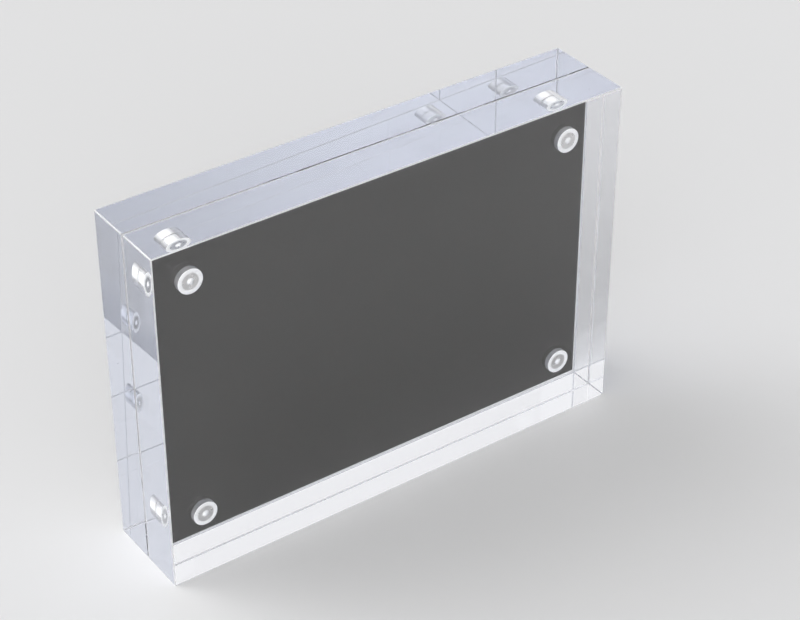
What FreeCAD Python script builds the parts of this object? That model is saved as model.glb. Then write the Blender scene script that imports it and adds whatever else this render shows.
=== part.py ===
"""Acrylic block frame: two clear blocks held face to face by four pairs of magnets.

Frame: millimetres, +X along the long side, +Y towards the back, +Z up, with the
origin at the centre of the base. The two blocks meet at the seam, the plane Y = 0,
with a loose card between them. Each block has four blind pockets drilled from its
seam face, and each pocket holds one magnet, bonded in with adhesive.
"""
import FreeCAD, Part

import os

import Sketcher

# Driving dimensions in millimetres and degrees, and sizes worked out from them
SIZES = [
    ("Block", None, None),
    ("block_width", "105", "long side of a block"),
    ("block_height", "74", "short side of a block"),
    ("block_thickness", "9.85", "one block, from its seam face to its outer face"),
    ("edge_chamfer", "0.2", "polished bevel on every edge but those at the seam"),
    ("seam_edge_chamfer", "0.12", "eased edge round the seam face"),
    ("Card", None, None),
    ("card_thickness", "0.2", "loose insert card"),
    ("card_clearance", "0.05", "play between the card and each seam face"),
    ("card_margin_left", "2.2", "from the card to the blocks' left side"),
    ("card_margin_right", "4.8", "from the card to the blocks' right side"),
    ("card_margin_top", "2.4", "from the card to the blocks' top"),
    ("card_margin_bottom", "5.6", "from the card to the blocks' base"),
    ("Magnet", None, None),
    ("magnet_diameter", "5", "disc magnet"),
    ("magnet_thickness", "2", "disc magnet"),
    ("magnet_face_chamfer", "0.75", "rim of the face on the pocket's floor"),
    ("magnet_seam_chamfer", "0.2", "rim of the face at the seam"),
    ("magnet_recess", "0.1", "from the seam face down to the magnet"),
    ("magnet_inset_side", "9.8", "from a block's side to the pocket's axis"),
    ("magnet_inset_end", "10.5", "from a block's top or base to the pocket's axis"),
    ("Pocket", None, None),
    ("bond_width", "0.1", "adhesive between the magnet and the pocket's wall"),
    ("centre_mark_diameter", "1.4", "dimple that the drill's point leaves in the floor"),
    ("centre_mark_angle", "118", "full angle of the drill's point"),
    ("Worked out", None, None),
    ("card_width", "=block_width - card_margin_left - card_margin_right", "along the long side"),
    ("card_height", "=block_height - card_margin_top - card_margin_bottom", "upwards"),
    ("seam_gap", "=card_thickness + 2 * card_clearance", "from seam face to seam face"),
    ("seam_half", "=seam_gap / 2", "from the seam plane to a seam face"),
    ("pocket_diameter", "=magnet_diameter + 2 * bond_width", "drilled pocket"),
    ("pocket_depth", "=magnet_recess + magnet_thickness", "to the pocket's flat floor"),
    ("pocket_x", "=block_width / 2 - magnet_inset_side", "pocket's axis, sideways"),
    ("pocket_low_z", "=magnet_inset_end", "lower pockets' axis"),
    ("pocket_high_z", "=block_height - magnet_inset_end", "upper pockets' axis"),
    ("magnet_y", "=seam_half + magnet_recess", "a magnet's seam face"),
    ("magnet_flat_radius", "=magnet_diameter / 2 - magnet_face_chamfer", "flat of its face"),
    ("centre_mark_depth", "=centre_mark_diameter / 2 / tan(centre_mark_angle * 1 deg / 2)",
     "below the pocket's floor"),
]

# Each corner's word, the side that it is on and the height of its pocket
CORNERS = [
    ("top_left", -1, "pocket_high_z"),
    ("top_right", 1, "pocket_high_z"),
    ("bottom_left", -1, "pocket_low_z"),
    ("bottom_right", 1, "pocket_low_z"),
]

# Each half's word and its turn about the vertical, because both blocks are one design
HALVES = [("front", 0), ("rear", 180)]

UP = FreeCAD.Vector(0, 0, 1)
SKETCH_NORMAL = FreeCAD.Vector(0, 0, 1)

doc = FreeCAD.newDocument("acrylic_block_frame")
sheet = doc.addObject("Spreadsheet::Sheet", "Sizes")


def fill_sheet():
    """Writes each size with its alias, and a heading over each group."""
    for row, (alias, value, note) in enumerate(SIZES, start=1):
        sheet.set(f"A{row}", alias.replace("_", " "))
        if value is None:
            continue
        sheet.set(f"B{row}", value)
        sheet.setAlias(f"B{row}", alias)
        sheet.set(f"C{row}", note)
    doc.recompute()


def size(alias):
    """The number that a cell of the sheet holds."""
    return float(sheet.get(alias))


def new_body(label):
    body = doc.addObject("PartDesign::Body", label)
    body.Label = label
    return body


def plane(body, role):
    """One of the body's own origin planes."""
    return next(f for f in body.Origin.OriginFeatures if f.Role == role)


def new_sketch(body, name, role="XZ_Plane"):
    sketch = body.newObject("Sketcher::SketchObject", f"{body.Name}_{name}")
    sketch.AttachmentSupport = [(plane(body, role), "")]
    sketch.MapMode = "FlatFace"
    return sketch


def dimension(sketch, name, constraint, expression):
    """Adds a named dimension and ties it to the sheet."""
    index = sketch.addConstraint(constraint)
    sketch.renameConstraint(index, name)
    sketch.setExpression(f"Constraints.{name}", expression)


def outline(sketch, points, horizontal=(), vertical=()):
    """Adds a closed outline through the points and returns its first line's index."""
    first = sketch.GeometryCount
    count = len(points)
    for here, there in zip(points, points[1:] + points[:1]):
        ends = [FreeCAD.Vector(*here, 0), FreeCAD.Vector(*there, 0)]
        sketch.addGeometry(Part.LineSegment(*ends))
    for line in range(count):
        following = (line + 1) % count
        sketch.addConstraint(Sketcher.Constraint("Coincident", first + line, 2, first + following, 1))
    for line in horizontal:
        sketch.addConstraint(Sketcher.Constraint("Horizontal", first + line))
    for line in vertical:
        sketch.addConstraint(Sketcher.Constraint("Vertical", first + line))
    return first


def pad(body, profile, name, length):
    """Pads a profile along its normal, by an expression."""
    feature = body.newObject("PartDesign::Pad", f"{body.Name}_{name}")
    feature.Profile = profile
    feature.setExpression("Length", length)
    doc.recompute()
    return feature


def chamfer(body, base, edges, name, width):
    """Chamfers each edge of base for which edges(edge) is true."""
    picked = [f"Edge{i}" for i, edge in enumerate(base.Shape.Edges, start=1) if edges(edge)]
    feature = body.newObject("PartDesign::Chamfer", f"{body.Name}_{name}")
    feature.Base = (base, picked)
    feature.setExpression("Size", width)
    doc.recompute()
    return feature


def drill(body, profile, name, diameter, depth, point_angle=None):
    """Drills a hole at each circle of a profile and checks that it took material away."""
    before = body.Shape.Volume
    feature = body.newObject("PartDesign::Hole", f"{body.Name}_{name}")
    feature.Profile = profile
    feature.DepthType = "Dimension"
    feature.Threaded = False
    feature.Reversed = True
    feature.setExpression("Diameter", diameter)
    feature.setExpression("Depth", depth)
    feature.DrillPoint = "Flat" if point_angle is None else "Angled"
    if point_angle is not None:
        feature.setExpression("DrillPointAngle", point_angle)
    doc.recompute()
    if body.Shape.Volume >= before:
        raise RuntimeError(f"{feature.Name} took nothing away")
    return feature


def circles_at_pockets(sketch, diameter):
    """Adds a circle on the axis of each of the four pockets."""
    for corner, side, height in CORNERS:
        centre = FreeCAD.Vector(side * size("pocket_x"), size(height), 0)
        circle = sketch.addGeometry(Part.Circle(centre, SKETCH_NORMAL, size(diameter) / 2))
        ends = (circle, 3, -1, 1) if side < 0 else (-1, 1, circle, 3)
        across = Sketcher.Constraint("Diameter", circle, size(diameter))
        sideways = Sketcher.Constraint("DistanceX", *ends, size("pocket_x"))
        up = Sketcher.Constraint("DistanceY", -1, 1, circle, 3, size(height))
        dimension(sketch, f"{corner}_across", across, f"Sizes.{diameter}")
        dimension(sketch, f"{corner}_sideways", sideways, "Sizes.pocket_x")
        dimension(sketch, f"{corner}_up", up, f"Sizes.{height}")


def make_block(half, turn):
    """A clear block: its seam face on the local XZ plane, its outer face towards local -Y."""
    body = new_body(f"{half}_block")
    face = new_sketch(body, "face")
    half_width, height = size("block_width") / 2, size("block_height")
    corners = [(-half_width, 0), (half_width, 0), (half_width, height), (-half_width, height)]
    first = outline(face, corners, horizontal=(0, 2), vertical=(1, 3))
    face.addConstraint(Sketcher.Constraint("PointOnObject", first, 1, -1))
    dimension(face, "left", Sketcher.Constraint("DistanceX", first, 1, -1, 1, half_width),
              "Sizes.block_width / 2")
    dimension(face, "width", Sketcher.Constraint("DistanceX", first, 1, first, 2, 2 * half_width),
              "Sizes.block_width")
    dimension(face, "height", Sketcher.Constraint("DistanceY", first + 1, 1, first + 1, 2, height),
              "Sizes.block_height")
    slab = pad(body, face, "slab", "Sizes.block_thickness")

    middle = -size("block_thickness") / 2
    bevelled = chamfer(body, slab, lambda edge: edge.BoundBox.YMin < middle, "polished_edges",
                       "Sizes.edge_chamfer")
    chamfer(body, bevelled, lambda edge: edge.BoundBox.YMin > middle, "seam_edges",
            "Sizes.seam_edge_chamfer")
    pockets = new_sketch(body, "pockets")
    circles_at_pockets(pockets, "pocket_diameter")
    drill(body, pockets, "pocket_holes", "Sizes.pocket_diameter", "Sizes.pocket_depth")
    marks = new_sketch(body, "centre_marks")
    circles_at_pockets(marks, "centre_mark_diameter")
    drill(body, marks, "centre_mark_holes", "Sizes.centre_mark_diameter", "Sizes.pocket_depth",
          "Sizes.centre_mark_angle")
    set_at_seam(body, turn, "Sizes.seam_half")
    return body


def set_at_seam(body, turn, from_seam, sideways=None, height=None):
    """Places a piece of one half: turned about the vertical, then moved out from the seam plane."""
    outward = 1 if turn else -1
    body.Placement = FreeCAD.Placement(FreeCAD.Vector(), FreeCAD.Rotation(UP, turn))
    body.setExpression("Placement.Base.y", f"{outward} * {from_seam}")
    if sideways:
        body.setExpression("Placement.Base.x", sideways)
        body.setExpression("Placement.Base.z", height)


def make_magnet(half, turn, corner, side, height):
    """A disc magnet: its seam face on the local XZ plane, its other face towards local -Y."""
    body = new_body(f"{half}_magnet_{corner}")
    face = new_sketch(body, "face")
    radius = size("magnet_diameter") / 2
    circle = face.addGeometry(Part.Circle(FreeCAD.Vector(), SKETCH_NORMAL, radius))
    face.addConstraint(Sketcher.Constraint("Coincident", circle, 3, -1, 1))
    dimension(face, "across", Sketcher.Constraint("Diameter", circle, 2 * radius), "Sizes.magnet_diameter")
    disc = pad(body, face, "disc", "Sizes.magnet_thickness")
    middle = -size("magnet_thickness") / 2
    bevelled = chamfer(body, disc, lambda edge: edge.BoundBox.YMax < middle, "face_rim",
                       "Sizes.magnet_face_chamfer")
    rim = size("magnet_diameter") / 2 - size("magnet_seam_chamfer")
    chamfer(body, bevelled, lambda edge: edge.BoundBox.YMin > middle and edge.BoundBox.XMax > rim,
            "seam_rim", "Sizes.magnet_seam_chamfer")
    set_at_seam(body, turn, "Sizes.magnet_y", f"{side} * Sizes.pocket_x", f"Sizes.{height}")
    return body


def make_adhesive(half, turn, corner, side, height):
    """Cured adhesive: the ring round a magnet and the drop in the dimple before it.

    The outline is half of a cut through the pocket's axis, on the local XY plane: X is the
    radius, and Y is minus the depth below the magnet's seam face.
    """
    body = new_body(f"{half}_adhesive_{corner}")
    body.AllowCompound = True
    cut = new_sketch(body, "cut", "XY_Plane")
    wall, magnet = size("pocket_diameter") / 2, size("magnet_diameter") / 2
    floor, flat = size("magnet_thickness"), size("magnet_flat_radius")
    seam_rim, face_rim = size("magnet_seam_chamfer"), size("magnet_face_chamfer")
    mark, tip = size("centre_mark_diameter") / 2, size("centre_mark_depth")
    ring = outline(cut, [(wall, 0), (wall, -floor), (flat, -floor), (magnet, face_rim - floor),
                         (magnet, -seam_rim), (magnet - seam_rim, 0)],
                   horizontal=(1, 5), vertical=(0, 3))
    drop = outline(cut, [(0, -floor), (mark, -floor), (0, -floor - tip)], horizontal=(0,), vertical=(2,))
    cut.addConstraint(Sketcher.Constraint("PointOnObject", ring, 1, -1))
    cut.addConstraint(Sketcher.Constraint("PointOnObject", drop, 1, -2))
    across = [
        ("wall", ring, wall, "Sizes.pocket_diameter / 2"),
        ("flat", ring + 2, flat, "Sizes.magnet_flat_radius"),
        ("magnet", ring + 3, magnet, "Sizes.magnet_diameter / 2"),
        ("seam_rim", ring + 5, magnet - seam_rim,
         "Sizes.magnet_diameter / 2 - Sizes.magnet_seam_chamfer"),
        ("mark", drop + 1, mark, "Sizes.centre_mark_diameter / 2"),
    ]
    for name, line, value, expression in across:
        radius = Sketcher.Constraint("DistanceX", -1, 1, line, 1, value)
        dimension(cut, f"{name}_radius", radius, expression)
    down = [
        ("floor", ring + 1, floor, "Sizes.magnet_thickness"),
        ("face_rim", ring + 3, floor - face_rim,
         "Sizes.magnet_thickness - Sizes.magnet_face_chamfer"),
        ("seam_rim", ring + 4, seam_rim, "Sizes.magnet_seam_chamfer"),
        ("mark_floor", drop, floor, "Sizes.magnet_thickness"),
        ("mark_tip", drop + 2, floor + tip, "Sizes.magnet_thickness + Sizes.centre_mark_depth"),
    ]
    for name, line, value, expression in down:
        depth = Sketcher.Constraint("DistanceY", line, 1, -1, 1, value)
        dimension(cut, f"{name}_depth", depth, expression)
    turned = body.newObject("PartDesign::Revolution", f"{body.Name}_turned")
    turned.Profile = cut
    turned.ReferenceAxis = (cut, ["V_Axis"])
    turned.Angle = 360
    doc.recompute()
    set_at_seam(body, turn, "Sizes.magnet_y", f"{side} * Sizes.pocket_x", f"Sizes.{height}")
    return body


def make_card():
    """The loose insert card, centred on the seam plane."""
    body = new_body("insert_card")
    face = new_sketch(body, "face")
    right = size("block_width") / 2 - size("card_margin_right")
    low = size("card_margin_bottom")
    left, high = right - size("card_width"), low + size("card_height")
    first = outline(face, [(left, low), (right, low), (right, high), (left, high)],
                    horizontal=(0, 2), vertical=(1, 3))
    dimension(face, "right", Sketcher.Constraint("DistanceX", -1, 1, first, 2, right),
              "Sizes.block_width / 2 - Sizes.card_margin_right")
    dimension(face, "low", Sketcher.Constraint("DistanceY", -1, 1, first, 1, low),
              "Sizes.card_margin_bottom")
    dimension(face, "width", Sketcher.Constraint("DistanceX", first, 1, first, 2, right - left),
              "Sizes.card_width")
    dimension(face, "height", Sketcher.Constraint("DistanceY", first + 1, 1, first + 1, 2, high - low),
              "Sizes.card_height")
    sheet_of_card = pad(body, face, "sheet", "Sizes.card_thickness")
    sheet_of_card.Midplane = True
    return body


def check_objects():
    """Stops the build if any object failed."""
    for item in doc.Objects:
        if "Invalid" in item.State or "Error" in item.State:
            raise RuntimeError(f"{item.Name} failed: {item.State}")


def check_piece(piece):
    """Stops the build if a piece has no shape or a faulty one."""
    if piece.Shape.isNull() or not piece.Shape.isValid() or not piece.Shape.Solids:
        raise RuntimeError(f"{piece.Label} has no sound solid")


fill_sheet()
pieces = [make_card()]
for half_word, half_turn in HALVES:
    pieces.append(make_block(half_word, half_turn))
    for corner_word, corner_side, corner_height in CORNERS:
        place = (half_word, half_turn, corner_word, corner_side, corner_height)
        pieces.append(make_magnet(*place))
        pieces.append(make_adhesive(*place))
doc.recompute()

check_objects()
for piece in pieces:
    check_piece(piece)

os.makedirs("parts", exist_ok=True)
for piece in pieces:
    piece.Shape.exportStep(f"parts/{piece.Label}.step")
    box = piece.Shape.BoundBox
    print(f"{piece.Label}: {len(piece.Shape.Solids)} solid(s), {piece.Shape.Volume:.3f} mm3, "
          f"X {box.XMin:.3f} to {box.XMax:.3f}, Y {box.YMin:.3f} to {box.YMax:.3f}, "
          f"Z {box.ZMin:.3f} to {box.ZMax:.3f}")
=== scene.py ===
"""Finishes an A7 acrylic block frame: clear blocks, bonded magnets and a loose card.

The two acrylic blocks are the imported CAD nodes, dressed in clear acrylic. The magnets,
their adhesive and the card are modelled here at the places that the CAD nodes give, and
stand in for those nodes. Everything is in metres, in the frame of the CAD model.
"""
import logging
import math
from collections.abc import Callable, Sequence
from dataclasses import dataclass, field
from enum import Enum

import bpy
from mathutils import Euler, Matrix, Vector


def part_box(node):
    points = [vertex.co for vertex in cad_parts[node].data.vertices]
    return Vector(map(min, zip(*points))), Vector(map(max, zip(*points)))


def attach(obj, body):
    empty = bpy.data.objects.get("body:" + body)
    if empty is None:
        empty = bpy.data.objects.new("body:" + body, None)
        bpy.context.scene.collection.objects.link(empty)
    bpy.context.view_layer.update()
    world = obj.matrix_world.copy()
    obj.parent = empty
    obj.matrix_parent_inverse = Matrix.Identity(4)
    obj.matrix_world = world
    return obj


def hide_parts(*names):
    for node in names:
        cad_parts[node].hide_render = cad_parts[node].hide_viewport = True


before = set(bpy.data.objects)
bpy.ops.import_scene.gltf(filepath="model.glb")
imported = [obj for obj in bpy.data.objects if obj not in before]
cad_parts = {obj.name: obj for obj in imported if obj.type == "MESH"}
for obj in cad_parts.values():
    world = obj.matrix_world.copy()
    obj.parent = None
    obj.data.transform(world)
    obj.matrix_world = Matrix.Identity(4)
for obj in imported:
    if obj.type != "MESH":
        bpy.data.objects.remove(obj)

LOG = logging.getLogger("acrylic_block_frame")
MM = 0.001

# A radius and a depth below the seam face, in metres
ProfilePoint = tuple[float, float]
Colour = tuple[float, float, float]


class Half(Enum):
    """One of the two blocks: its word, its body, and the sign of Y on its outer side."""

    FRONT = ("front", "front_half", -1)
    REAR = ("rear", "rear_half", 1)

    def __init__(self, word: str, body: str, outward: int) -> None:
        """Names the parts of a member's value.

        Args:
            word: the block's word in the nodes' names.
            body: the body that it rides on.
            outward: the sign of Y on its outer side.
        """
        self.word = word
        self.body = body
        self.outward = outward


class Corner(Enum):
    """A corner of a block, as the nodes' names spell it."""

    TOP_LEFT = "top_left"
    TOP_RIGHT = "top_right"
    BOTTOM_LEFT = "bottom_left"
    BOTTOM_RIGHT = "bottom_right"


class Slot(Enum):
    """A material slot of the part's record."""

    NICKEL = "nickel_plate"
    ADHESIVE = "cured_adhesive"
    CARD = "card_stock"


class NodeSheet:
    """A material's node tree, with short ways to add nodes and wire them up."""

    def __init__(self, name: str) -> None:
        """Starts a material that holds one Principled shader.

        Args:
            name: the material's name.
        """
        self.material = bpy.data.materials.new(name)
        self.material.use_nodes = True
        self.tree = self.material.node_tree
        self.shader = self.tree.nodes["Principled BSDF"]
        self.place = self.add("ShaderNodeTexCoord").outputs["Object"]

    def add(self, kind: str, **settings: object) -> bpy.types.Node:
        """Adds a node and sets its properties.

        Args:
            kind: the node's type name.
            settings: property names and values.

        Returns:
            The new node.
        """
        node = self.tree.nodes.new(kind)
        for name, value in settings.items():
            setattr(node, name, value)
        return node

    def feed(self, socket: bpy.types.NodeSocket, value: object) -> None:
        """Links an output to a socket, or sets a plain value on it.

        Args:
            socket: the input.
            value: an output or a plain value.
        """
        if isinstance(value, bpy.types.NodeSocket):
            self.tree.links.new(value, socket)
        else:
            socket.default_value = value

    def surface(self, **values: object) -> None:
        """Sets the shader's sockets, each named in words joined by underscores."""
        for name, value in values.items():
            self.feed(self.shader.inputs[name.replace("_", " ")], value)

    def absorb(self, colour: Colour, density: float) -> None:
        """Fills the piece with a clear body that dims light by the length of its way.

        Args:
            colour: of the light that gets through; a channel at 1 loses nothing.
            density: the loss per metre in a channel at 0.
        """
        node = self.add("ShaderNodeVolumeAbsorption")
        node.inputs["Color"].default_value = rgba(colour)
        node.inputs["Density"].default_value = density
        self.feed(self.tree.nodes["Material Output"].inputs["Volume"], node.outputs[0])

    def maths(self, operation: str, *values: object) -> bpy.types.NodeSocket:
        """Adds a Math node.

        Args:
            operation: the node's operation.
            values: its inputs in order, each a number or an output.

        Returns:
            The node's output.
        """
        node = self.add("ShaderNodeMath", operation=operation)
        for socket, value in zip(node.inputs, values):
            self.feed(socket, value)
        return node.outputs[0]

    def split(self, vector: bpy.types.NodeSocket) -> Sequence[bpy.types.NodeSocket]:
        """Takes a vector apart.

        Args:
            vector: the output to split.

        Returns:
            Its X, Y and Z.
        """
        node = self.add("ShaderNodeSeparateXYZ")
        self.feed(node.inputs[0], vector)
        return tuple(node.outputs)

    def noise(self, size: float, detail: float = 3.0, stretch: Colour = (1, 1, 1)
              ) -> bpy.types.NodeSocket:
        """Adds a noise pattern on the piece's own coordinates.

        Args:
            size: of its largest features, in metres.
            detail: number of finer layers.
            stretch: how many times closer the pattern is along each axis.

        Returns:
            The pattern's value, around one half.
        """
        mapping = self.add("ShaderNodeMapping")
        self.feed(mapping.inputs["Vector"], self.place)
        mapping.inputs["Scale"].default_value = stretch
        texture = self.add("ShaderNodeTexNoise")
        self.feed(texture.inputs["Vector"], mapping.outputs[0])
        texture.inputs["Scale"].default_value = 1 / size
        texture.inputs["Detail"].default_value = detail
        return texture.outputs[0]

    def remap(self, value: object, start: tuple[float, float], end: tuple[float, float]
              ) -> bpy.types.NodeSocket:
        """Maps a value from one range to another and holds it there.

        Args:
            value: the output to map.
            start: a value, and what it becomes.
            end: another value, and what it becomes.

        Returns:
            The mapped value.
        """
        node = self.add("ShaderNodeMapRange")
        self.feed(node.inputs["Value"], value)
        node.inputs["From Min"].default_value, node.inputs["To Min"].default_value = start
        node.inputs["From Max"].default_value, node.inputs["To Max"].default_value = end
        return node.outputs[0]

    def blend(self, share: object, first: object, second: object) -> bpy.types.NodeSocket:
        """Mixes two colours.

        Args:
            share: 0 for the first colour, 1 for the second.
            first: a colour or an output.
            second: a colour or an output.

        Returns:
            The mixed colour.
        """
        node = self.add("ShaderNodeMix", data_type="RGBA")
        sockets = {s.identifier: s for s in node.inputs}
        self.feed(sockets["Factor_Float"], share)
        self.feed(sockets["A_Color"], first)
        self.feed(sockets["B_Color"], second)
        return next(s for s in node.outputs if s.identifier == "Result_Color")

    def bump(self, height: object, depth: float,
             below: bpy.types.NodeSocket | None = None) -> bpy.types.NodeSocket:
        """Adds relief to the surface.

        Args:
            height: the relief's height, from 0 to 1.
            depth: its real depth in metres.
            below: the normal of a coarser relief under it.

        Returns:
            The bent normal.
        """
        node = self.add("ShaderNodeBump")
        node.inputs["Distance"].default_value = depth
        self.feed(node.inputs["Height"], height)
        if below is not None:
            self.feed(node.inputs["Normal"], below)
        return node.outputs[0]


def rgba(colour: Colour) -> tuple[float, float, float, float]:
    """The colour with a full alpha."""
    return (*colour, 1.0)


@dataclass(frozen=True)
class ClearAcrylic:
    """Cast acrylic with flame-polished faces, a little frosted where the pockets were drilled.

    Sides, heights and distances are in metres from the frame's origin. A face is flat where
    one part of its normal passes flat_normal. The outer bevels are hazed, and a metallic
    share in white on them is a painted glint that mirrors the surround as bright edge lines;
    the white also leaves them untinted. Edges within seam_edge of the seam face keep their
    polish and get no painted glint. A drilled face lies within wall_play of a pocket's wall,
    deeper than face_play below the seam face, and nearer to the seam plane than pocket_reach.
    """

    pocket_side: float
    pocket_low: float
    pocket_high: float
    pocket_radius: float
    seam_face: float
    tint: Colour = (0.99, 0.99, 0.995)
    haze_tint: Colour = (0.975, 0.977, 0.987)
    depth_colour: Colour = (0.72, 0.748, 0.822)
    depth_density: float = 10.0
    index: float = 1.49
    haze_size: float = 30 * MM
    polish: float = 0.0
    smudge: float = 0.02
    smudge_size: float = 11 * MM
    frost: float = 0.42
    ripple_size: float = 7 * MM
    ripple_depth: float = 0.0002 * MM
    tool_mark_pitch: float = 0.25 * MM
    tool_mark_depth: float = 0.004 * MM
    edge_haze: float = 0.6
    # Painted glint: the bevels' metallic share and their white colour make bright edge lines
    painted_edge_glint: float = 0.6
    painted_glint_colour: Colour = (1.0, 1.0, 1.0)
    flat_normal: float = 0.9
    seam_edge: float = 0.2 * MM
    pocket_reach: float = 5 * MM
    wall_play: float = 0.05 * MM
    face_play: float = 0.02 * MM

    def make(self) -> bpy.types.Material:
        """Makes the material.

        Returns:
            The material.
        """
        sheet = NodeSheet("clear_acrylic_polished")
        drilled, from_axis = self.drilled(sheet)
        ripples = sheet.noise(self.ripple_size, detail=2)
        smudges = sheet.remap(sheet.noise(self.smudge_size, detail=4), (0.5, 0.0), (0.75, 1.0))
        turns = sheet.maths("MULTIPLY", from_axis, math.tau / self.tool_mark_pitch)
        marks = sheet.maths("SINE", turns)
        marks = sheet.maths("MULTIPLY", sheet.remap(marks, (-1, 0), (1, 1)), drilled)
        polished = sheet.bump(ripples, self.ripple_depth)
        roughness = sheet.maths("MULTIPLY_ADD", smudges, self.smudge, self.polish)
        bevelled = self.bevelled(sheet, drilled)
        roughness = sheet.maths("MULTIPLY_ADD", bevelled, self.edge_haze, roughness)
        haze = sheet.noise(self.haze_size, detail=1)
        tint = sheet.blend(haze, rgba(self.tint), rgba(self.haze_tint))
        sheet.surface(
            # The bevels' white colour and metallic share are a painted glint that mirrors the
            # surround as bright lines
            Base_Color=sheet.blend(bevelled, tint, rgba(self.painted_glint_colour)),
            Roughness=sheet.maths("MULTIPLY_ADD", drilled, self.frost, roughness),
            Metallic=sheet.maths("MULTIPLY", bevelled, self.painted_edge_glint),
            Normal=sheet.bump(marks, self.tool_mark_depth, polished),
            IOR=self.index,
            Transmission_Weight=1.0,
        )
        sheet.absorb(self.depth_colour, self.depth_density)
        return sheet.material

    def bevelled(self, sheet: NodeSheet, drilled: bpy.types.NodeSocket) -> bpy.types.NodeSocket:
        """Finds the scraped bevels of the outer edges, which face along no axis: hazy, and given
        a painted glint.

        Args:
            sheet: the material's node tree.
            drilled: 1 on the pockets' faces, which are left out.

        Returns:
            1 on the bevels and 0 elsewhere.
        """
        normal = sheet.add("ShaderNodeTexCoord").outputs["Normal"]
        across, through, up = (sheet.maths("ABSOLUTE", part) for part in sheet.split(normal))
        most = sheet.maths("MAXIMUM", sheet.maths("MAXIMUM", across, through), up)
        slanted = sheet.maths("LESS_THAN", most, self.flat_normal)
        from_seam = sheet.maths("ABSOLUTE", sheet.split(sheet.place)[1])
        outer = sheet.maths("GREATER_THAN", from_seam, self.seam_face + self.seam_edge)
        undrilled = sheet.maths("SUBTRACT", 1.0, drilled)
        return sheet.maths("MULTIPLY", sheet.maths("MULTIPLY", slanted, outer), undrilled)

    def drilled(self, sheet: NodeSheet) -> tuple[bpy.types.NodeSocket, bpy.types.NodeSocket]:
        """Finds the pockets' drilled faces by place, because both blocks are symmetrical.

        Args:
            sheet: the material's node tree.

        Returns:
            1 on the drilled faces and 0 elsewhere, and the distance from the pocket's axis.
        """
        across, through, up = sheet.split(sheet.place)
        half_pitch = (self.pocket_high - self.pocket_low) / 2
        middle = (self.pocket_high + self.pocket_low) / 2
        across = sheet.maths("SUBTRACT", sheet.maths("ABSOLUTE", across), self.pocket_side)
        through = sheet.maths("ABSOLUTE", through)
        up = sheet.maths("ABSOLUTE", sheet.maths("SUBTRACT", up, middle))
        up = sheet.maths("SUBTRACT", up, half_pitch)
        flat = sheet.add("ShaderNodeCombineXYZ")
        sheet.feed(flat.inputs[0], across)
        sheet.feed(flat.inputs[1], up)
        length = sheet.add("ShaderNodeVectorMath", operation="LENGTH")
        sheet.feed(length.inputs[0], flat.outputs[0])
        from_axis = length.outputs["Value"]
        near = sheet.maths("LESS_THAN", from_axis, self.pocket_radius + self.wall_play)
        deep = sheet.maths("GREATER_THAN", through, self.seam_face + self.face_play)
        inside = sheet.maths("LESS_THAN", through, self.pocket_reach)
        return sheet.maths("MULTIPLY", sheet.maths("MULTIPLY", near, deep), inside), from_axis


@dataclass(frozen=True)
class NickelPlate:
    """Bright nickel over a pressed magnet, with the fine pits and scuffs of plating."""

    colour: Colour = (0.86, 0.855, 0.84)
    dull_colour: Colour = (0.76, 0.755, 0.745)
    shine: float = 0.25
    scuffed: float = 0.42
    cloud_size: float = 1.2 * MM
    pit_size: float = 0.12 * MM
    pit_depth: float = 0.006 * MM

    def make(self) -> bpy.types.Material:
        """Makes the material.

        Returns:
            The material.
        """
        sheet = NodeSheet("nickel_plate_bright")
        clouds = sheet.remap(sheet.noise(self.cloud_size, detail=5), (0.35, 0), (0.7, 1))
        pits = sheet.noise(self.pit_size, detail=3)
        sheet.surface(
            Base_Color=sheet.blend(clouds, rgba(self.colour), rgba(self.dull_colour)),
            Metallic=1.0,
            Roughness=sheet.remap(clouds, (0, self.shine), (1, self.scuffed)),
            Normal=sheet.bump(pits, self.pit_depth),
        )
        return sheet.material


@dataclass(frozen=True)
class CuredAdhesive:
    """Milky cured adhesive, with a few fine bubbles."""

    colour: Colour = (0.985, 0.985, 0.975)
    clear_colour: Colour = (0.93, 0.93, 0.93)
    roughness: float = 0.35
    clear_roughness: float = 0.2
    streak_size: float = 0.7 * MM
    bubble_pitch: float = 0.5 * MM
    bubble_depth: float = 0.02 * MM

    def make(self) -> bpy.types.Material:
        """Makes the material.

        Returns:
            The material.
        """
        sheet = NodeSheet("cured_adhesive_milky")
        streaks = sheet.remap(sheet.noise(self.streak_size, detail=4), (0.45, 0), (0.75, 1))
        bubbles = sheet.add("ShaderNodeTexVoronoi")
        sheet.feed(bubbles.inputs["Vector"], sheet.place)
        bubbles.inputs["Scale"].default_value = 1 / self.bubble_pitch
        dots = sheet.remap(bubbles.outputs["Distance"], (0.1, 1), (0.2, 0))
        sheet.surface(
            Base_Color=sheet.blend(streaks, rgba(self.colour), rgba(self.clear_colour)),
            Roughness=sheet.remap(streaks, (0, self.roughness), (1, self.clear_roughness)),
            Normal=sheet.bump(dots, self.bubble_depth),
            Specular_IOR_Level=0.3,
        )
        return sheet.material


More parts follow.
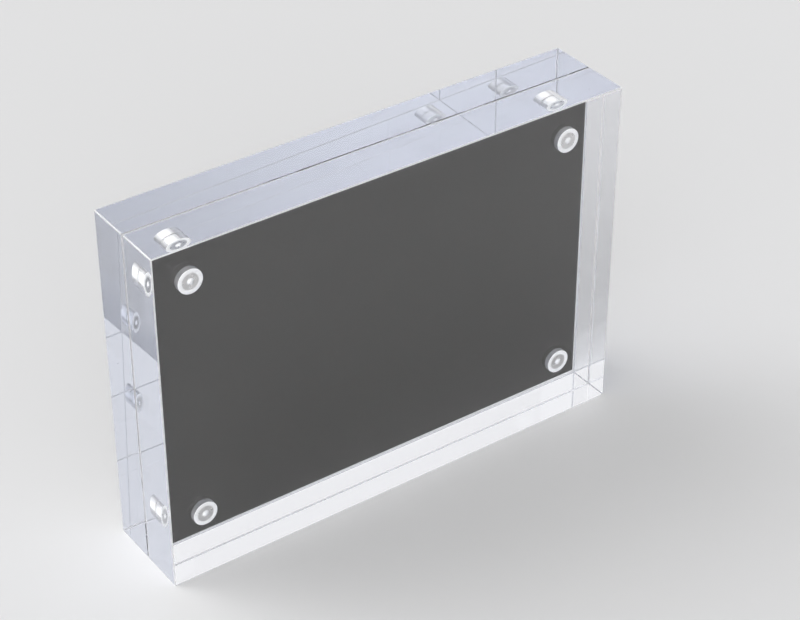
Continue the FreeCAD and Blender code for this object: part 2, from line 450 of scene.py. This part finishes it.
@dataclass(frozen=True)
class CardStock:
    """Matt paper board: its fibres, its slight tooth and the flecks in its colour."""

    name: str
    colour: Colour
    fleck: Colour
    roughness: float = 0.85
    pressed_roughness: float = 0.7
    fibre_size: float = 0.9 * MM
    crossing_size: float = 0.7 * MM
    cloud_size: float = 14 * MM
    tooth_share: float = 0.6
    tooth_depth: float = 0.004 * MM

    def make(self) -> bpy.types.Material:
        """Makes the material.

        Returns:
            The material.
        """
        sheet = NodeSheet(self.name)
        fibres = sheet.noise(self.fibre_size, detail=5, stretch=(0.35, 1, 1.4))
        crossing = sheet.noise(self.crossing_size, detail=5, stretch=(1.5, 1, 0.4))
        tooth = sheet.maths("MAXIMUM", fibres, crossing)
        clouds = sheet.noise(self.cloud_size, detail=3)
        clouds = sheet.maths("MULTIPLY", clouds, 1 - self.tooth_share)
        tone = sheet.maths("MULTIPLY_ADD", tooth, self.tooth_share, clouds)
        flecks = sheet.remap(tone, (0.4, 0), (0.7, 1))
        sheet.surface(
            Base_Color=sheet.blend(flecks, rgba(self.colour), rgba(self.fleck)),
            Roughness=sheet.remap(tooth, (0.4, self.roughness), (0.7, self.pressed_roughness)),
            Normal=sheet.bump(tooth, self.tooth_depth),
            Specular_IOR_Level=0.25,
        )
        return sheet.material


class Workpiece:
    """A mesh on the bench, shaped in edit mode with the modelling operators.

    A round piece is made with its axis along Y and its body towards -Y.
    """

    merge_distance = 0.0005 * MM
    sharp_angle = math.radians(30)
    smooth_angle = math.radians(38)

    def __init__(self, name: str) -> None:
        """Takes the object that an operator has just added and puts its place in its mesh.

        Args:
            name: the piece's name.
        """
        self.item = bpy.context.object
        self.item.name = self.item.data.name = name
        bpy.ops.object.transform_apply(location=True, rotation=True, scale=True)

    @staticmethod
    def clear_bench() -> None:
        """Deselects everything before a new piece is started."""
        bpy.ops.object.select_all(action="DESELECT")

    @classmethod
    def disc(cls, name: str, radius: float, thickness: float, sides: int) -> "Workpiece":
        """Starts a round blank from Y = 0 towards -Y.

        Args:
            name: the piece's name.
            radius: in metres.
            thickness: in metres.
            sides: flats round its rim.

        Returns:
            The blank.
        """
        cls.clear_bench()
        bpy.ops.mesh.primitive_cylinder_add(
            vertices=sides, radius=radius, depth=thickness,
            location=(0, -thickness / 2, 0), rotation=(math.pi / 2, 0, 0))
        return cls(name)

    @classmethod
    def plate(cls, name: str, low: Vector, high: Vector) -> "Workpiece":
        """Starts a flat blank between two corners.

        Args:
            name: the piece's name.
            low: its lowest corner.
            high: its highest corner.

        Returns:
            The blank.
        """
        cls.clear_bench()
        bpy.ops.mesh.primitive_cube_add(size=1, location=(low + high) / 2, scale=high - low)
        return cls(name)

    @classmethod
    def turned(cls, name: str, profile: Sequence[ProfilePoint], sides: int) -> "Workpiece":
        """Turns a profile about the Y axis, by drawing a ring of edges out from point to point.

        A profile that ends on the axis gives a solid piece, and any other is closed into a ring.

        Args:
            name: the piece's name.
            profile: its points, each a radius and a depth towards -Y, in metres.
            sides: flats round its rim.

        Returns:
            The turned piece.
        """
        cls.clear_bench()
        to_axis = profile[-1][0] == 0
        (radius, depth), *others = profile if to_axis else [*profile, profile[0]]
        bpy.ops.mesh.primitive_circle_add(
            vertices=sides, radius=radius, location=(0, -depth, 0),
            rotation=(math.pi / 2, 0, 0), fill_type="NOTHING")
        piece = cls(name)
        bpy.ops.object.mode_set(mode="EDIT")
        bpy.ops.mesh.select_mode(type="EDGE")
        bpy.ops.mesh.select_all(action="SELECT")
        for next_radius, next_depth in others:
            bpy.ops.mesh.extrude_edges_indiv()
            bpy.ops.transform.translate(value=(0, depth - next_depth, 0))
            if next_radius == 0:
                bpy.ops.mesh.merge(type="CENTER")
            else:
                share = next_radius / radius
                bpy.ops.transform.resize(value=(share, 1, share), center_override=(0, 0, 0))
            radius, depth = next_radius, next_depth
        bpy.ops.mesh.select_all(action="SELECT")
        bpy.ops.mesh.remove_doubles(threshold=cls.merge_distance)
        if to_axis:
            bpy.ops.mesh.select_non_manifold()
            bpy.ops.mesh.edge_face_add()
            bpy.ops.mesh.select_all(action="SELECT")
        bpy.ops.mesh.normals_make_consistent(inside=False)
        bpy.ops.object.mode_set(mode="OBJECT")
        return piece

    @staticmethod
    def pick_nothing(kind: str) -> None:
        """Clears the selection and says what the next one holds.

        Args:
            kind: EDGE or FACE.
        """
        bpy.ops.object.mode_set(mode="EDIT")
        bpy.ops.mesh.select_mode(type=kind)
        bpy.ops.mesh.select_all(action="DESELECT")
        bpy.ops.object.mode_set(mode="OBJECT")

    def pick_edges(self, wanted: Callable[[Vector, Vector], bool]) -> None:
        """Opens the piece in edit mode with the edges selected that a test takes.

        Args:
            wanted: says yes or no to an edge by its two ends.
        """
        self.pick_nothing("EDGE")
        points = self.item.data.vertices
        for edge in self.item.data.edges:
            first, second = (points[i].co for i in edge.vertices)
            edge.select = wanted(first, second)
        bpy.ops.object.mode_set(mode="EDIT")

    def pick_faces(self, wanted: Callable[[Vector, Vector], bool]) -> None:
        """Opens the piece in edit mode with the faces selected that a test takes.

        Args:
            wanted: says yes or no to a face by its centre and its normal.
        """
        self.pick_nothing("FACE")
        for face in self.item.data.polygons:
            face.select = wanted(face.center, face.normal)
        bpy.ops.object.mode_set(mode="EDIT")

    def bevel_picked(self, width: float, segments: int = 1) -> None:
        """Bevels the selected edges and leaves edit mode."""
        bpy.ops.mesh.bevel(offset=width, segments=segments, affect="EDGES")
        bpy.ops.object.mode_set(mode="OBJECT")

    def coat_picked(self, material: bpy.types.Material) -> None:
        """Gives the selected faces a material of their own and leaves edit mode.

        Args:
            material: the faces' material.
        """
        self.item.data.materials.append(material)
        self.item.active_material_index = len(self.item.data.materials) - 1
        bpy.ops.object.material_slot_assign()
        bpy.ops.object.mode_set(mode="OBJECT")

    def soften(self, width: float, segments: int) -> None:
        """Rounds every sharp edge with a modifier, applies it and smooths the shading.

        Args:
            width: of the rounding, in metres.
            segments: steps across it.
        """
        rounding = self.item.modifiers.new("rounding", "BEVEL")
        rounding.width = width
        rounding.segments = segments
        rounding.limit_method = "ANGLE"
        rounding.angle_limit = self.sharp_angle
        bpy.ops.object.modifier_apply(modifier=rounding.name)
        bpy.ops.object.shade_smooth_by_angle(angle=self.smooth_angle)
        weighting = self.item.modifiers.new("weighting", "WEIGHTED_NORMAL")
        weighting.keep_sharp = True
        bpy.ops.object.modifier_apply(modifier=weighting.name)

    def join(self, other: "Workpiece") -> None:
        """Takes another piece's mesh into this one.

        Args:
            other: the piece that is used up.
        """
        self.clear_bench()
        other.item.select_set(True)
        self.item.select_set(True)
        bpy.context.view_layer.objects.active = self.item
        bpy.ops.object.join()

    def copy(self, name: str, turn: float, shift: Vector) -> bpy.types.Object:
        """Makes a copy with a mesh of its own, turned about Z and then moved.

        Args:
            name: the copy's name.
            turn: in radians.
            shift: in metres.

        Returns:
            The copy.
        """
        twin = self.item.copy()
        twin.data = self.item.data.copy()
        twin.name = twin.data.name = name
        twin.data.transform(Matrix.Translation(shift) @ Matrix.Rotation(turn, 4, "Z"))
        bpy.context.scene.collection.objects.link(twin)
        return twin

    def put_away(self) -> None:
        """Removes the pattern once its copies are made."""
        bpy.data.objects.remove(self.item)


@dataclass
class BondedMagnet:
    """A disc magnet and its adhesive, which repeat in every pocket of both blocks.

    The sizes repeat the CAD model's. Contact is how far the adhesive and the magnet's face
    are wetted into the pocket's floor, so that they show through it with no air between, and
    shrinkage is how far the adhesive has drawn back from the pocket's wall, which then
    mirrors the card to a viewer in front.
    """

    plate: NickelPlate
    bond: CuredAdhesive
    radius: float
    thickness: float
    wall: float
    mark_depth: float
    face_chamfer: float = 0.75 * MM
    seam_chamfer: float = 0.2 * MM
    mark_radius: float = 0.7 * MM
    rim_rounding: float = 0.05 * MM
    contact: float = 0.02 * MM
    shrinkage: float = 0.02 * MM
    sides: int = 96
    patterns: dict[str, Workpiece] = field(default_factory=dict)

    def model_magnet(self) -> Workpiece:
        """Bevels a round blank at both rims and rounds the plating's edges.

        Returns:
            The pattern that the magnets are copied from.
        """
        thickness = self.thickness + self.contact / 2
        disc = Workpiece.disc("magnet_pattern", self.radius, thickness, self.sides)
        middle = -thickness / 2
        disc.pick_edges(lambda a, b: max(a.y, b.y) < middle)
        disc.bevel_picked(self.face_chamfer)
        disc.pick_edges(lambda a, b: min(a.y, b.y) > -self.seam_chamfer / 2)
        disc.bevel_picked(self.seam_chamfer)
        disc.soften(self.rim_rounding, 3)
        disc.item.data.materials.append(self.plate.make())
        return disc

    def model_adhesive(self) -> Workpiece:
        """Turns the ring round the magnet and the blunt drop in the drill's centre mark.

        Returns:
            The pattern that the adhesive is copied from.
        """
        floor = self.thickness + self.contact
        wall = self.wall - self.shrinkage
        flat = self.radius - self.face_chamfer
        ring = Workpiece.turned("adhesive_pattern", [
            (wall, 0),
            (wall, floor),
            (flat, floor),
            (self.radius, self.thickness - self.face_chamfer),
            (self.radius, self.seam_chamfer),
            (self.radius - self.seam_chamfer, 0),
        ], self.sides)
        ring.soften(self.contact, 2)
        mark, tip = self.mark_radius, self.thickness + self.mark_depth
        drop = Workpiece.turned("drop_pattern", [
            (mark, self.thickness - self.contact),
            (mark, self.thickness),
            (mark / 2, (self.thickness + tip) / 2),
            (mark / 5, tip - self.mark_depth / 8),
            (0, tip),
        ], self.sides)
        drop.item.data.shade_smooth()
        ring.join(drop)
        ring.item.data.materials.append(self.bond.make())
        return ring

    def model(self) -> None:
        """Models both patterns."""
        self.patterns = {"magnet": self.model_magnet(), "adhesive": self.model_adhesive()}

    def fit(self, half: Half, corner: Corner) -> None:
        """Copies both patterns into a pocket, where they stand in for the CAD nodes.

        Args:
            half: the block.
            corner: the pocket.
        """
        low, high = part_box(f"{half.word}_magnet_{corner.value}")
        seam_face = low.y if half.outward > 0 else high.y
        shift = Vector(((low.x + high.x) / 2, seam_face, (low.z + high.z) / 2))
        turn = math.pi if half.outward > 0 else 0.0
        for kind, pattern in self.patterns.items():
            node = f"{half.word}_{kind}_{corner.value}"
            piece = pattern.copy(f"{node}_finished", turn, shift)
            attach(piece, half.body)
            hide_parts(node)
            LOG.info("%s: %d faces", piece.name, len(piece.data.polygons))

    def put_away(self) -> None:
        """Removes both patterns."""
        for pattern in self.patterns.values():
            pattern.put_away()


@dataclass
class InsertCard:
    """The loose blank card, with square-cut corners and a paler core at its cut edges."""

    low: Vector
    high: Vector
    face: CardStock = CardStock(
        "card_face_dark", (0.0266, 0.0248, 0.0224), (0.0314, 0.0296, 0.0272))
    core: CardStock = CardStock("card_core", (0.1, 0.1, 0.1), (0.16, 0.16, 0.16))
    corner_rounding: float = 0.2 * MM
    edge_rounding: float = 0.03 * MM

    def build(self) -> None:
        """Models the card, coats its faces and its cut edges, and fits it in the seam."""
        card = Workpiece.plate("insert_card_finished", self.low, self.high)
        thickness = self.high.y - self.low.y
        card.pick_edges(lambda a, b: abs(a.y - b.y) > thickness / 2)
        card.bevel_picked(self.corner_rounding, segments=4)
        card.soften(self.edge_rounding, 2)
        card.item.data.materials.append(self.face.make())
        card.pick_faces(lambda centre, normal: abs(normal.y) < 0.5)
        card.coat_picked(self.core.make())
        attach(card.item, "insert")
        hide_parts("insert_card")
        LOG.info("%s: %d faces", card.item.name, len(card.item.data.polygons))


@dataclass
class BlockHalf:
    """One clear block with its four bonded magnets."""

    half: Half
    acrylic: bpy.types.Material
    magnet: BondedMagnet

    def build(self) -> None:
        """Dresses the block and fills its pockets."""
        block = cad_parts[f"{self.half.word}_block"]
        for place in block.material_slots:
            place.material = self.acrylic
        LOG.info("%s: dressed in %s", block.name, self.acrylic.name)
        for corner in Corner:
            self.magnet.fit(self.half, corner)


def aim(heading: float, elevation: float) -> Vector:
    """Works out a direction.

    Args:
        heading: turned from +Y towards +X, in degrees.
        elevation: above the horizon, in degrees.

    Returns:
        The direction, of length 1.
    """
    turn, rise = math.radians(heading), math.radians(elevation)
    level = math.cos(rise)
    return Vector((math.sin(turn) * level, math.cos(turn) * level, math.sin(rise)))


@dataclass(frozen=True)
class Glow:
    """A broad soft light in the surround, brightest in one direction."""

    heading: float
    elevation: float
    strength: float
    tightness: float

    def add_to(self, sheet: "WorldSheet", total: object) -> bpy.types.NodeSocket:
        """Adds the light's strength in each direction to a total.

        Args:
            sheet: the world's node tree.
            total: a number or an output.

        Returns:
            The new total.
        """
        facing = sheet.add("ShaderNodeVectorMath", operation="DOT_PRODUCT")
        sheet.feed(facing.inputs[0], sheet.place)
        sheet.feed(facing.inputs[1], aim(self.heading, self.elevation))
        share = sheet.maths("MAXIMUM", facing.outputs["Value"], 0.0)
        share = sheet.maths("POWER", share, self.tightness)
        return sheet.maths("MULTIPLY_ADD", share, self.strength, total)


class WorldSheet(NodeSheet):
    """The node tree of the surround."""

    def __init__(self, name: str) -> None:
        """Starts a world.

        Args:
            name: the world's name.
        """
        self.world = bpy.data.worlds.new(name)
        self.world.use_nodes = True
        self.tree = self.world.node_tree
        self.shader = self.tree.nodes["Background"]
        self.place = self.add("ShaderNodeTexCoord").outputs["Generated"]


@dataclass(frozen=True)
class Studio:
    """A plain pale floor and a surround that lights the object softly from all round."""

    key: Glow = Glow(-42, 46, 4.5, 12.0)
    front: Glow = Glow(-130, 14, 2.7, 3.0)
    base_light: float = 0.23
    seen_light: float = 1.0
    floor_width: float = 12.0
    floor_colour: Colour = (0.71, 0.71, 0.715)
    floor_roughness: float = 0.9
    floor_drop: float = 0.02 * MM
    sky_colour: Colour = (1.0, 1.0, 1.0)
    inner_reflections: int = 32

    def build(self) -> None:
        """Lays the floor and lights the surround."""
        self.lay_floor()
        self.light_surround()
        cycles = bpy.context.scene.cycles
        cycles.max_bounces = self.inner_reflections
        cycles.glossy_bounces = self.inner_reflections
        cycles.transmission_bounces = self.inner_reflections
        cycles.blur_glossy = 0.0

    def lay_floor(self) -> None:
        """Lays a pale matt floor just under the object."""
        Workpiece.clear_bench()
        bpy.ops.mesh.primitive_plane_add(
            size=self.floor_width, location=(0, 0, -self.floor_drop))
        floor = Workpiece("studio_floor")
        sheet = NodeSheet("pale_floor")
        sheet.surface(
            Base_Color=rgba(self.floor_colour),
            Roughness=self.floor_roughness,
            Specular_IOR_Level=0.0,
        )
        floor.item.data.materials.append(sheet.material)

    def light_surround(self) -> None:
        """Adds up the soft lights, and shows an even white surround to all but matt surfaces.

        Matt surfaces behind acrylic get the front light too, which is never seen as such.
        """
        sheet = WorldSheet("pale_surround")
        front = self.front.add_to(sheet, 0.0)
        light = self.key.add_to(sheet, sheet.maths("ADD", front, self.base_light))
        path = sheet.add("ShaderNodeLightPath").outputs
        seen = sheet.maths("MAXIMUM", path["Is Camera Ray"], path["Is Glossy Ray"])
        seen = sheet.maths("MAXIMUM", seen, path["Is Transmission Ray"])
        # 1 for a ray that has left a matt surface, also where acrylic lies in its way
        matt = sheet.maths("GREATER_THAN", path["Diffuse Depth"], 0.5)
        fill = sheet.maths("MULTIPLY_ADD", front, matt, self.seen_light)
        strength = sheet.add("ShaderNodeMix", data_type="FLOAT")
        sheet.feed(strength.inputs[0], seen)
        sheet.feed(strength.inputs[2], light)
        sheet.feed(strength.inputs[3], fill)
        sheet.surface(Color=rgba(self.sky_colour), Strength=strength.outputs[0])
        bpy.context.scene.world = sheet.world
        bpy.context.scene.view_settings.view_transform = "Standard"


@dataclass(frozen=True)
class PhotoCamera:
    """The photograph's camera, as fitted to the corners of the blocks in it.

    It looks along its heading, turned from +Y towards +X, and down by its dip.
    """

    place: tuple[float, float, float] = (-203.2 * MM, -296.0 * MM, 285.1 * MM)
    heading: float = 35.36
    dip: float = 34.64
    focal_px: float = 2245.4
    frame_width_px: float = 800.0
    sensor_width: float = 36.0
    near_clip: float = 10 * MM

    def set_up(self) -> None:
        """Makes the camera and hands it to the scene."""
        data = bpy.data.cameras.new("photo_camera")
        data.sensor_width = self.sensor_width
        data.lens = self.focal_px / self.frame_width_px * self.sensor_width
        data.clip_start = self.near_clip
        camera = bpy.data.objects.new("photo_camera", data)
        camera.location = self.place
        tilt, turn = math.radians(90 - self.dip), -math.radians(self.heading)
        camera.rotation_euler = Euler((tilt, 0.0, turn))
        bpy.context.scene.collection.objects.link(camera)
        bpy.context.scene.camera = camera


def read_magnet() -> BondedMagnet:
    """Reads the bonded magnet's sizes from the CAD nodes of one pocket.

    Returns:
        The magnet, not yet modelled.
    """
    magnet_low, magnet_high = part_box("front_magnet_top_left")
    bond_low, bond_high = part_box("front_adhesive_top_left")
    return BondedMagnet(
        plate=NickelPlate(),
        bond=CuredAdhesive(),
        radius=(magnet_high.x - magnet_low.x) / 2,
        thickness=magnet_high.y - magnet_low.y,
        wall=(bond_high.x - bond_low.x) / 2,
        mark_depth=magnet_low.y - bond_low.y,
    )


def read_acrylic(magnet: BondedMagnet) -> ClearAcrylic:
    """Reads from the CAD nodes where the acrylic's pockets are.

    Args:
        magnet: what the pockets hold.

    Returns:
        The acrylic with its pockets placed.
    """
    right_low, right_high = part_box("front_magnet_top_right")
    base_low, base_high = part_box("front_magnet_bottom_right")
    return ClearAcrylic(
        pocket_side=(right_low.x + right_high.x) / 2,
        pocket_low=(base_low.z + base_high.z) / 2,
        pocket_high=(right_low.z + right_high.z) / 2,
        pocket_radius=magnet.wall,
        seam_face=-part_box("front_block")[1].y,
    )


def main() -> None:
    """Builds the frame's finished pieces, then the studio and the camera."""
    logging.basicConfig(level=logging.INFO, format="%(name)s: %(message)s")
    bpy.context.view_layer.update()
    magnet = read_magnet()
    acrylic = read_acrylic(magnet).make()
    magnet.model()
    for half in Half:
        BlockHalf(half, acrylic, magnet).build()
    magnet.put_away()
    InsertCard(*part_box("insert_card")).build()
    Studio().build()
    PhotoCamera().set_up()


if __name__ == "__main__":
    main()
